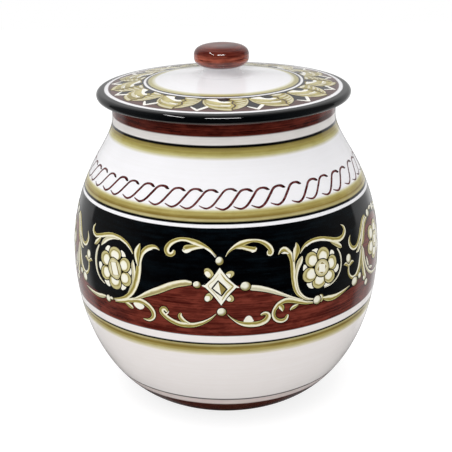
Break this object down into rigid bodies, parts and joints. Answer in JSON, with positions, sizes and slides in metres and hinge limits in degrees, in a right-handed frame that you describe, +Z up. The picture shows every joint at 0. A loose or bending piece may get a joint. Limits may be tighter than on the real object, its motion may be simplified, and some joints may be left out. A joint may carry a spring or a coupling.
{
  "type": "cookie jar",
  "caption": "Round-bellied glazed ceramic jar with a short neck and a lift-off lid that has a rolled edge, a locating collar and a bun-shaped knob, for storing dry food.",
  "frame": {"origin": "centre of the foot, on the surface the jar stands on", "axes": "+Z up along the jar's axis, -Y towards the front, where the ornament's centre is"},
  "size_m": [0.204, 0.204, 0.233],
  "materials": {
    "body_glaze": "white tin glaze, painted in bands, glossy",
    "lid_glaze": "white tin glaze, painted with a leaf ring and a dark edge, glossy",
    "knob_glaze": "red-brown brushed glaze, glossy"
  },
  "bodies": {
    "jar": {"jar_body": "body_glaze"},
    "lid": {"lid": "lid_glaze", "knob": "knob_glaze"}
  },
  "joints": [
    {"name": "lid_lift", "type": "slide", "parent": "jar", "child": "lid", "axis": [0, 0, 1], "range_m": [0, 0.22]}
  ]
}
